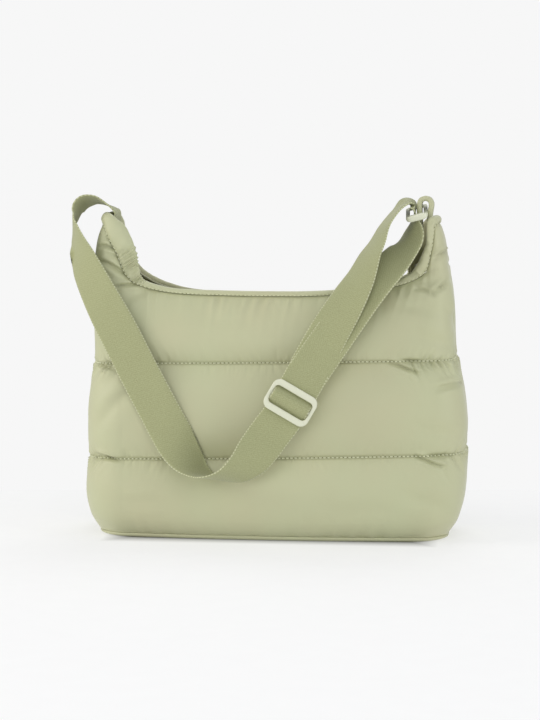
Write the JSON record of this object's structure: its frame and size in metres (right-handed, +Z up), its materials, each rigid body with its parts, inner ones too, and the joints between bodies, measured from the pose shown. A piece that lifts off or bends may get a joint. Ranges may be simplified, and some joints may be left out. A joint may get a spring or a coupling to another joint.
{
  "type": "tote bag",
  "caption": "Padded tote bag with horizontal quilted bands, a scooped open mouth and one wide adjustable webbing strap with a rectangular ring and an adjuster.",
  "frame": {"origin": "middle of the flat underside of the base", "axes": "+X to the right along the bag's width seen from the front, -Y towards the front, +Z up"},
  "size_m": [0.4036, 0.2055, 0.3425],
  "materials": {
    "shell": "satin woven nylon",
    "binding": "satin woven nylon",
    "tape": "matt woven tape",
    "webbing": "matt twill webbing",
    "slider_metal": "satin",
    "hardware": "satin enamel"
  },
  "bodies": {
    "root": {"front_panel": "shell", "back_panel": "shell", "base_panel": "shell", "front_rim_band": "binding", "back_rim_band": "binding", "front_zip_tape": "tape", "back_zip_tape": "tape", "zip_slider": "slider_metal", "strap": "webbing", "adjuster": "hardware", "ring": "hardware", "ring_tab": "binding"}
  },
  "joints": []
}
